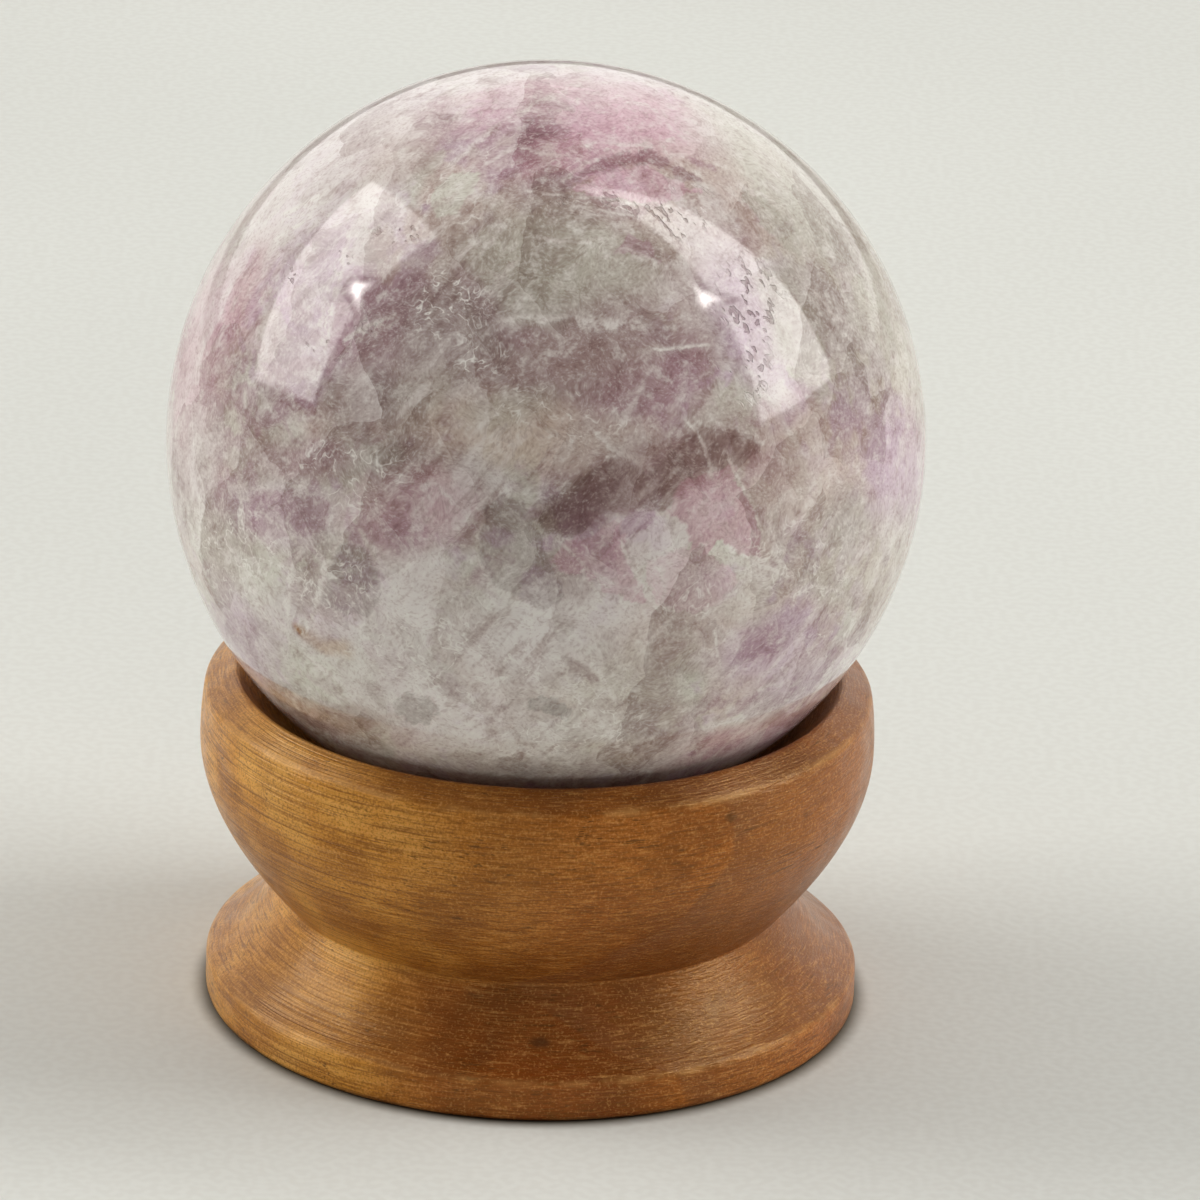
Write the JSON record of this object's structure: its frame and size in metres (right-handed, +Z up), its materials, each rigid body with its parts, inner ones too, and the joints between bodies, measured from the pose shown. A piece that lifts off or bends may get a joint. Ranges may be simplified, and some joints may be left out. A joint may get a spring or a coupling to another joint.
{
  "type": "decorative sphere",
  "caption": "Polished mineral sphere resting in the shallow dish of a small turned wooden cup stand with a flared foot.",
  "frame": {"origin": "centre of the stand's flat underside, on the surface that it stands on", "axes": "+Z up along the turning axis that the stand and the sphere share, -Y towards the viewer, +X to the viewer's right"},
  "size_m": [0.05, 0.05, 0.0644],
  "materials": {
    "polished_stone": "mirror polish over cloudy lilac, grey-green and cream mineral",
    "turned_wood": "satin varnish over honey brown wood with fine turning lines"
  },
  "bodies": {
    "root": {"stone_sphere": "polished_stone", "wooden_stand": "turned_wood"}
  },
  "joints": []
}
